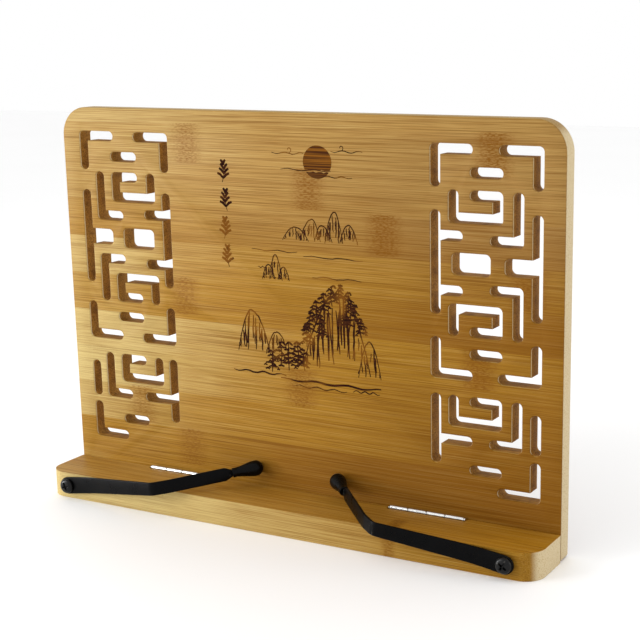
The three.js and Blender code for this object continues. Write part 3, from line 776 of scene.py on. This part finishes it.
def sprig(x, z, size, lean):
    """A generic ornament: a bent twig with pairs of pointed leaves."""
    stem = [(x + lean * (t - 0.5) ** 2, z + size * (t - 0.5)) for t in (0, 0.2, 0.4, 0.6, 0.8)]
    strokes = [(stem, 0.55)]
    for k, (foot_x, foot_z) in enumerate(stem[1:]):
        for side in (-1, 1):
            angle = radians(90 - side * (55 - 9 * k))
            length = size * (0.4 - 0.04 * k)
            tip = (foot_x + length * cos(angle), foot_z + length * sin(angle))
            middle = ((foot_x + tip[0]) / 2, (foot_z + tip[1]) / 2 + 0.05 * size)
            strokes.append(([(foot_x, foot_z), middle, tip], 1.7))
    return strokes


def sky_and_water(chance):
    """Thin drifting lines beside the sun and across the lake."""
    lines = [(wave(chance, x0, x1, z), 0.6) for x0, x1, z in CLOUDS]
    lines += [(curl(x, z, radius), 0.55) for x, z, radius in CLOUD_CURLS]
    lines += [(wave(chance, x0, x1, z, 0.4), 0.6) for x0, x1, z in LAKE_LINES]
    return lines


def landscape():
    """Every line of the drawing, as (points, width) in millimetres across and up."""
    chance = random.Random(11)
    lines = sky_and_water(chance)
    for x0, x1, height, lean in FAR_PEAKS:
        lines += mountain(chance, x0, x1, 171.5, height, lean, 11, 0.65)
    for x0, x1, height in MIDDLE_PEAKS:
        lines += mountain(chance, x0, x1, 147, height, 0.5, 9, 0.65)
    for near_peak in NEAR_PEAKS:
        lines += mountain(chance, *near_peak)
    for x, z, height in HILL_PINES + SHORE_PINES:
        lines += pine(chance, x, z, height)
    for x0, x1, z, width in SHORE:
        lines.append((wave(chance, x0, x1, z, 0.6, 22), width))
    for i in range(SPRIGS["count"]):
        lean = SPRIGS["lean"] if i % 2 else -SPRIGS["lean"]
        lines += sprig(SPRIGS["x"], SPRIGS["top"] - SPRIGS["pitch"] * i, SPRIGS["size"], lean)
    return lines


def ribbon(bm, points, width, proud):
    """One burned line: a thin tapered strip let into the board's face."""
    path = [Vector(point) for point in points]
    low, high = BOARD_FRONT - proud, BOARD_FRONT + INK_ROOT
    rings = []
    for i, point in enumerate(path):
        along = (path[min(i + 1, len(path) - 1)] - path[max(i - 1, 0)]).normalized()
        taper = 0.45 + 0.55 * sin(pi * (i + 0.6) / (len(path) + 0.2))
        across = Vector((-along.y, along.x)) * width / 2 * taper
        left = point + across
        right = point - across
        rings.append([facing_front(*left, low), facing_front(*left, high),
                      facing_front(*right, high), facing_front(*right, low)])
    loft(bm, rings)


def drawing():
    """The landscape's lines, and the sun's disc with a band of cloud left clear across it."""
    bm = bmesh.new()
    for i, (points, width) in enumerate(landscape()):
        ribbon(bm, points, width, INK_PROUD + i * INK_STEP)
    add_piece(bm, "burned_landscape", burnt, BODY, "bamboo_board")

    bm = bmesh.new()
    for start, end in SUN["arcs"]:
        disc = arc(SUN["x"], SUN["z"], SUN["radius"], start, end, 40)
        first_x, (last_x, last_z) = disc[0][0], disc[-1]
        cloud = [(last_x + (first_x - last_x) * k / 9, last_z + 0.35 * sin(2.3 * k))
                 for k in range(1, 9)]
        slab(bm, disc + cloud, BOARD_FRONT - SUN_PROUD, BOARD_FRONT + INK_ROOT, facing_front)
    add_piece(bm, "burned_sun", scorched, BODY, "bamboo_board")


# ---- shelf ----


def hinge_pockets():
    """The cutter for the pockets that take the hinges' barrels."""
    back = (shelf_high / MM).y
    bm = bmesh.new()
    for label, _ in SIDES:
        low, high = [corner / MM for corner in corners(f"{label}_hinge_pin")]
        pocket = rounded_box(low.x - GAP, high.x + GAP, back - POCKET["depth"],
                             back + POCKET["past"], (POCKET["radius"],) * 4, 4)
        top = shelf_high.z + POCKET["above"] * MM
        slab(bm, pocket, (LEAF["foot"] - GAP) * MM, top, facing_up, 1)
    return finish_mesh(bm, "hinge_pockets", [shelf_bamboo, cut_wood])


def shelf():
    """A thick slab with rounded front corners, pocketed for the hinges."""
    low, high = shelf_low / MM, shelf_high / MM
    radii = (SHELF_RADIUS, SHELF_BACK_RADIUS, SHELF_BACK_RADIUS, SHELF_RADIUS)
    bm = bmesh.new()
    slab(bm, rounded_box(low.x, high.x, low.y, high.y, radii, 14), shelf_low.z, shelf_high.z, facing_up)
    ease_edges(bm, (shelf_low.z, shelf_high.z), 2, EASE["shelf"] * MM, 4)
    piece = finish_mesh(bm, "bamboo_shelf", [shelf_bamboo, cut_wood])
    cut_away(piece, hinge_pockets())
    keep(piece, BODY, "bamboo_shelf", "shelf")


# ---- hinges ----


def along_x(axis):
    """The place function for a lathe whose axis runs along X through that point."""
    def place(u, v, along):
        return Vector((along * MM, axis.y + u * MM, axis.z + v * MM))
    return place


def hinge_leaf(side, axis, first, turn):
    """A plate with every other knuckle, from the first, in front of the pin (turn -1) or behind it."""
    start = side * HINGE["middle"] - HINGE["length"] / 2
    pitch = HINGE["length"] / HINGE["knuckles"]
    outer, bore, ease = HINGE["radius"], HINGE["bore"], KNUCKLE_EASE
    half = LEAF["thickness"] / 2
    face = turn * (outer - half)
    near, far = axis.y + (face - half) * MM, axis.y + (face + half) * MM
    foot, top = axis.z / MM, LEAF["top"] - 1
    bm = bmesh.new()
    for i in range(first, HINGE["knuckles"], 2):
        x0 = start + i * pitch + GAP / 2
        x1 = x0 + pitch - GAP
        tube = [(bore, x0), (outer - ease, x0), (outer, x0 + ease),
                (outer, x1 - ease), (outer - ease, x1), (bore, x1), (bore, x0)]
        lathe(bm, tube, along_x(axis), 32)
        slab(bm, [(x0, top), (x1, top), (x1, foot), (x0, foot)], near, far, facing_front)
    radii = [LEAF_RADIUS[end] for end in ("foot", "top", "top", "foot")]
    plate = rounded_box(start, start + HINGE["length"], LEAF["foot"], LEAF["top"], radii, 6)
    slab(bm, plate, near, far, facing_front)
    bmesh.ops.remove_doubles(bm, verts=bm.verts, dist=SAME_POINT)
    return bm


def hinge_pin(side, axis):
    """A straight pin with a domed head on both ends."""
    middle = side * HINGE["middle"]
    half = HINGE["length"] / 2 + GAP
    radius, height = PIN_HEAD["radius"], PIN_HEAD["height"]
    dome = [(radius * cos(a), half + height * sin(a)) for a in (0, 0.5, 1.0)]
    head = [(HINGE["pin"], half)] + dome + [(0, half + height)]
    profile = [(r, -along) for r, along in reversed(head)] + head
    bm = bmesh.new()
    lathe(bm, [(r, middle + along) for r, along in profile], along_x(axis), 28)
    return bm


def hinges():
    """On each side a leaf on the board, a leaf on the shelf and a pin."""
    for label, side in SIDES:
        axis = sum(corners(f"{label}_hinge_pin"), Vector()) / 2
        for leaf, first, turn in (("board", 0, 1), ("shelf", 1, -1)):
            add_piece(hinge_leaf(side, axis, first, turn), f"{label}_{leaf}_leaf", chrome,
                      BODY, "hinge_chrome", f"{label}_hinge_{leaf}_leaf")
        add_piece(hinge_pin(side, axis), f"{label}_pin", chrome,
                  BODY, "hinge_chrome", f"{label}_hinge_pin")


# ---- screws ----


def cross_recess(spec, turn, place):
    """The cutter for a cross recess: two crossed bars that narrow inwards."""
    radius, height = spec["radius"], spec["height"]
    bm = bmesh.new()
    for quarter in (0, 90):
        angle = radians(turn + quarter)
        rings = []
        for along, (reach, half) in ((height + 1, RECESS["mouth"]), (height * 0.2, RECESS["floor"])):
            ring = []
            for u, v in ((-1, -1), (1, -1), (1, 1), (-1, 1)):
                across = u * reach * radius
                up = v * half * radius
                ring.append(place(across * cos(angle) - up * sin(angle),
                                  across * sin(angle) + up * cos(angle), along))
            rings.append(ring)
        loft(bm, rings)
    return bm


def pan_screw(name, spec, bearing, turn, outward, material, slot, node):
    """A pan head with a cross recess. bearing is the middle of the head's underside."""
    radius, height, shank, length = spec.values()

    def place(u, v, along):
        return Vector((bearing.x + u * MM, bearing.y + outward * along * MM, bearing.z + v * MM))

    angles = [radians(degrees) for degrees in (0, 20, 38, 54, 68, 80)]
    dome = [(radius * cos(a) ** 0.55, height * (0.25 + 0.75 * sin(a))) for a in angles]
    profile = [(0, -length), (shank, -length + 2 * shank), (shank, 0), (radius, 0)] + dome + [(0, height)]
    bm = bmesh.new()
    lathe(bm, profile, place, 48)
    screw = finish_mesh(bm, name, [material])
    cut_away(screw, finish_mesh(cross_recess(spec, turn, place), f"{name}_recess", [material]))
    keep(screw, BODY, slot, node)


# ---- page clips ----


def bent_path(corners, radii, steps):
    """Points and directions along a line whose inner corners are rounded by the radii."""
    stations = []
    start = corners[0]
    for before, corner, after, bend in zip(corners, corners[1:], corners[2:], radii):
        enter = corner + (before - corner).normalized() * bend
        leave = corner + (after - corner).normalized() * bend
        stations.append((start, (enter - start).normalized()))
        for i in range(steps):
            t = i / steps
            point = enter * (1 - t) ** 2 + corner * 2 * t * (1 - t) + leave * t ** 2
            tangent = (corner - enter) * (1 - t) + (leave - corner) * t
            stations.append((point, tangent.normalized()))
        start = leave
    direction = (corners[-1] - start).normalized()
    stations.append((start, direction))
    stations.append((corners[-1], direction))
    return stations


def section_ring(point, along, up, corners):
    """A flat section's corners, set square to the path at that point."""
    rise = (up - along * up.dot(along)).normalized()
    side = along.cross(rise)
    return [point + side * s + rise * r for s, r in corners]


def strip_section(height):
    """The clip's strip in section, on edge and with rounded edges."""
    half = CLIP["thickness"] / 2
    radius = min(STRIP_EDGE, height / 2.2)
    return rounded_box(-half, half, -height / 2, height / 2, (radius,) * 4, 3)


def clip_arm(bends, neck, slant, place):
    """The strip, from its round end at the screw to the tongue inside the rubber tip."""
    end = neck - slant * GAP
    shoulder = end - slant * SHOULDER["length"]
    hub = CLIP["hub"] / 2
    rings = []
    for degrees in (8, 20, 34, 48, 62, 76):
        angle = radians(degrees)
        section = strip_section(2 * hub * sin(angle))
        rings.append(section_ring(Vector((-hub * cos(angle), 0, 0)), Vector((1, 0, 0)), UP, section))
    for point, along in bent_path(bends + [shoulder], CLIP_BEND_RADII, 8):
        share = min(point.x / CLIP_BEND["front"][0], 1)
        height = CLIP["hub"] + (CLIP["end"] - CLIP["hub"]) * share
        rings.append(section_ring(point, along, UP, strip_section(height)))
    for t in (0.3, 0.55, 0.8, 1):
        height = CLIP["end"] + (SHOULDER["height"] - CLIP["end"]) * smooth(t)
        rings.append(section_ring(shoulder.lerp(end, t), slant, UP, strip_section(height)))
    tongue = strip_section(TONGUE["height"])
    tongue_rings = [section_ring(neck + slant * reach, slant, UP, tongue)
                    for reach in (TONGUE["start"], TONGUE["end"])]
    bm = bmesh.new()
    for skin in (rings, tongue_rings):
        loft(bm, [[place(point) for point in ring] for ring in skin])
    return bm


def rubber_tip(neck, slant, place):
    """A pushed-on sleeve that swells to a ball."""
    length, radius, thin = TIP["length"], TIP["ball"], TIP["neck"]
    ease, rim = TIP_RIM["ease"], TIP_RIM["end"]
    middle = length - radius
    profile = [(0, 0), (thin - ease, 0), (thin - 0.1, 0.2), (thin, 0.6), (thin, 1.4), (thin - 0.15, rim)]
    for i in range(1, 9):
        t = i / 8
        profile.append((thin + (radius - thin) * smooth(t), rim + (middle - rim) * t))
    for degrees in range(10, 90, 10):
        angle = radians(degrees)
        profile.append((radius * cos(angle), middle + radius * sin(angle)))
    profile.append((0, length))
    rise = (UP - slant * UP.dot(slant)).normalized()
    across = slant.cross(rise)
    bm = bmesh.new()
    lathe(bm, profile, lambda u, v, along: place(neck + slant * along + across * u + rise * v), 40)
    return bm


def clip(label, side):
    """A strip with its rubber tip and its screw, laid out along X from the screw and then placed."""
    pivot = Vector(joints[f"{label}_clip_swing"]["pos_m"])
    droop = Matrix.Rotation(radians(side * CLIP["pitch"]), 3, "Y")

    def place(point):
        local = Vector((-side * point.x, point.y, point.z))
        return pivot + droop @ local * MM

    bends = [Vector((0, 0, 0))] + [Vector((x, y, 0)) for x, y in CLIP_BEND.values()]
    ball = Vector((TIP["x"], (BOARD_FRONT - pivot.y) / MM - GAP - TIP["ball"], 0))
    slant = (ball - bends[-1]).normalized()
    neck = ball + slant * (TIP["ball"] - TIP["length"])
    body = f"{label}_clip"
    add_piece(clip_arm(bends, neck, slant, place), f"{label}_page_clip", paint,
              body, "black_steel", f"{label}_clip_arm")
    add_piece(rubber_tip(neck, slant, place), f"{label}_tip", rubber,
              body, "black_rubber", f"{label}_clip_rubber_tip")

    head_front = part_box(f"{label}_clip_screw")[0][1]
    bearing = Vector((pivot.x, head_front + PAN_SCREW["height"] * MM, pivot.z))
    pan_screw(f"{label}_pivot_screw", PAN_SCREW, bearing, SCREW_TURN[label], -1, screw_black,
              "black_steel", f"{label}_clip_screw")


# ---- wire prop ----


def wire_leg(axis, low):
    """One wire: a toe, a length in its saddle, a leg, the foot, and the same again up the other side."""
    lean = radians(PROP["toe_angle"])
    toe = Vector((PROP["end_x"], axis.y + PROP["toe"] * sin(lean),
                  axis.z + PROP["toe"] * cos(lean)))
    half = [toe, Vector((PROP["end_x"], axis.y, axis.z)),
            Vector((PROP["half_width"], axis.y, axis.z)), Vector((PROP["half_width"], axis.y, low))]
    mirrored = [Vector((-corner.x, corner.y, corner.z)) for corner in half]
    stations = bent_path(mirrored + half[::-1], [PROP["bend"]] * 6, 12)
    sides = 24
    circle = arc(0, 0, PROP["wire"], 0, 360 - 360 / sides, sides - 1)

    def ring(point, along, size=1.0):
        corners = [(u * size, v * size) for u, v in circle]
        return [corner * MM for corner in section_ring(point, along, Vector((0, 1, 0)), corners)]

    (first, outset), (last, onward) = stations[0], stations[-1]
    ease = PROP["wire"] * WIRE_END["ease"]
    rings = [ring(first, outset, WIRE_END["size"]), ring(first + outset * ease, outset)]
    rings += [ring(point, along) for point, along in stations[1:-1]]
    rings += [ring(last - onward * ease, onward), ring(last, onward, WIRE_END["size"])]
    bm = bmesh.new()
    loft(bm, rings)
    return bm


def foot_sleeve(axis, low):
    """A rubber tube on the wire's foot, with grooves near both ends."""
    reach = SLEEVE["length"] / 2
    outer, inner = SLEEVE["radius"], PROP["wire"] + 0.1
    ease, half = 0.5, GROOVE["half"]
    profile = [(inner, -reach), (outer - ease, -reach), (outer, -reach + ease)]
    grooves = [reach - GROOVE["first"] - GROOVE["pitch"] * k for k in range(GROOVE["count"])]
    for centre in [-groove for groove in grooves] + grooves[::-1]:
        profile += [(outer, centre - half), (outer - GROOVE["depth"], centre), (outer, centre + half)]
    profile += [(outer, reach - ease), (outer - ease, reach), (inner, reach), (inner, -reach)]
    bm = bmesh.new()
    lathe(bm, profile, lambda u, v, along: Vector((along, axis.y + u, low + v)) * MM, 32)
    bmesh.ops.remove_doubles(bm, verts=bm.verts, dist=SAME_POINT)
    return bm


def prop():
    """The bent wire that folds out behind, and the sleeve on its foot."""
    axis = Vector(joints["prop_swing"]["pos_m"]) / MM
    low = axis.z - PROP["leg"]
    add_piece(wire_leg(axis, low), "wire_leg", wire_steel, "prop", "prop_steel", "prop_wire")
    add_piece(foot_sleeve(axis, low), "foot_sleeve", rubber, "prop", "black_rubber", "prop_sleeve")


def saddle_outline(axis):
    """A strap bent over the wire, with a flat foot above and below, seen along X."""
    face = BOARD_BACK / MM + GAP
    top = face + SADDLE["strap"]
    inner = PROP["wire"] + GAP
    outer = inner + SADDLE["strap"]
    reach = outer + SADDLE["foot"]
    slope, root = outer + SADDLE_CORNER["up"], axis.y - SADDLE_CORNER["in"]
    outline = [(face, -reach), (top, -reach), (top, -slope), (root, -outer)]
    outline += arc(axis.y, 0, outer, -90, 90, 16)
    outline += [(root, outer), (top, slope), (top, reach), (face, reach), (face, inner)]
    outline += arc(axis.y, 0, inner, 90, -90, 16)
    return outline + [(face, -inner)]


def saddles():
    """The two straps that hold the wire to the board, each with two screws."""
    axis = Vector(joints["prop_swing"]["pos_m"]) / MM
    bearing_y = BOARD_BACK / MM + GAP + SADDLE["strap"] + GAP
    for label, side in SIDES:
        middle = side * SADDLE["x"]
        ends = [(middle + end * SADDLE["width"] / 2) * MM for end in (-1, 1)]
        bm = bmesh.new()
        slab(bm, saddle_outline(axis), *ends,
             lambda u, v, depth: Vector((depth, u * MM, (axis.z + v) * MM)))
        ease_edges(bm, ends, 0, EASE["saddle"] * MM, 2)
        add_piece(bm, f"{label}_saddle", wire_steel, BODY, "prop_steel", f"{label}_prop_saddle")
        for name, up in (("lower", -1), ("upper", 1)):
            bearing = Vector((middle, bearing_y, axis.z + up * SADDLE["screw"])) * MM
            pan_screw(f"{label}_{name}_screw", SADDLE_SCREW, bearing, 25 * up + 10 * side, 1, zinc,
                      "zinc_screw", f"{label}_saddle_screw_{name}")


# ---- pieces that keep their CAD shape ----


def carried_over():
    """The washers and the hinges' hidden screws are right as they are, and get finished materials."""
    for name, node in frame["nodes"].items():
        if name.endswith("_washer"):
            material = paint
        elif "_hinge_" in name and "_screw_" in name:
            material = zinc
        else:
            continue
        for material_slot in node.material_slots:
            material_slot.material = material


# ---- stage ----


def stage():
    """A pale floor, an even white surround, and three soft lights."""
    half = FLOOR["half"]
    bm = bmesh.new()
    slab(bm, [(-half, -half), (half, -half), (half, half), (-half, half)],
         FLOOR["low"] * MM, FLOOR["high"] * MM, facing_up)
    finish_mesh(bm, "floor", [pale_floor()])

    world = bpy.data.worlds.new("studio")
    bpy.context.scene.world = world
    world.use_nodes = True
    background = world.node_tree.nodes["Background"]
    background.inputs[0].default_value = (1, 1, 1, 1)
    background.inputs[1].default_value = 1.0
    bpy.context.scene.view_settings.view_transform = "Standard"

    for name, place, size, power in LIGHTS:
        light = bpy.data.lights.new(name, "AREA")
        light.size = size
        light.energy = power
        lamp = bpy.data.objects.new(name, light)
        bpy.context.scene.collection.objects.link(lamp)
        lamp.location = place
        lamp.rotation_euler = (LIGHT_TARGET - Vector(place)).to_track_quat("-Z", "Y").to_euler()


def camera():
    """At the photo's viewing angle, and shifted to its framing."""
    azimuth, elevation, roll = (radians(CAMERA[key]) for key in ("azimuth", "elevation", "roll"))
    forward = Vector((-sin(azimuth) * cos(elevation),
                      cos(azimuth) * cos(elevation), -sin(elevation)))
    level = Vector((cos(azimuth), sin(azimuth), 0))
    above = level.cross(forward)
    right = level * cos(roll) + above * sin(roll)
    up = right.cross(forward)
    data = bpy.data.cameras.new("camera")
    data.sensor_width = 36
    data.lens = CAMERA["lens"]
    data.shift_x = CAMERA["shift_x"]
    data.shift_y = CAMERA["shift_y"]
    data.clip_start = 0.01
    eye = bpy.data.objects.new("camera", data)
    bpy.context.scene.collection.objects.link(eye)
    turn = Matrix((right, up, -forward)).transposed().to_4x4()
    eye.matrix_world = Matrix.Translation(CAMERA["eye"]) @ turn
    bpy.context.scene.camera = eye


camera()
backboard()
drawing()
shelf()
hinges()
for clip_label, clip_side in SIDES:
    clip(clip_label, clip_side)
prop()
saddles()
carried_over()
stage()
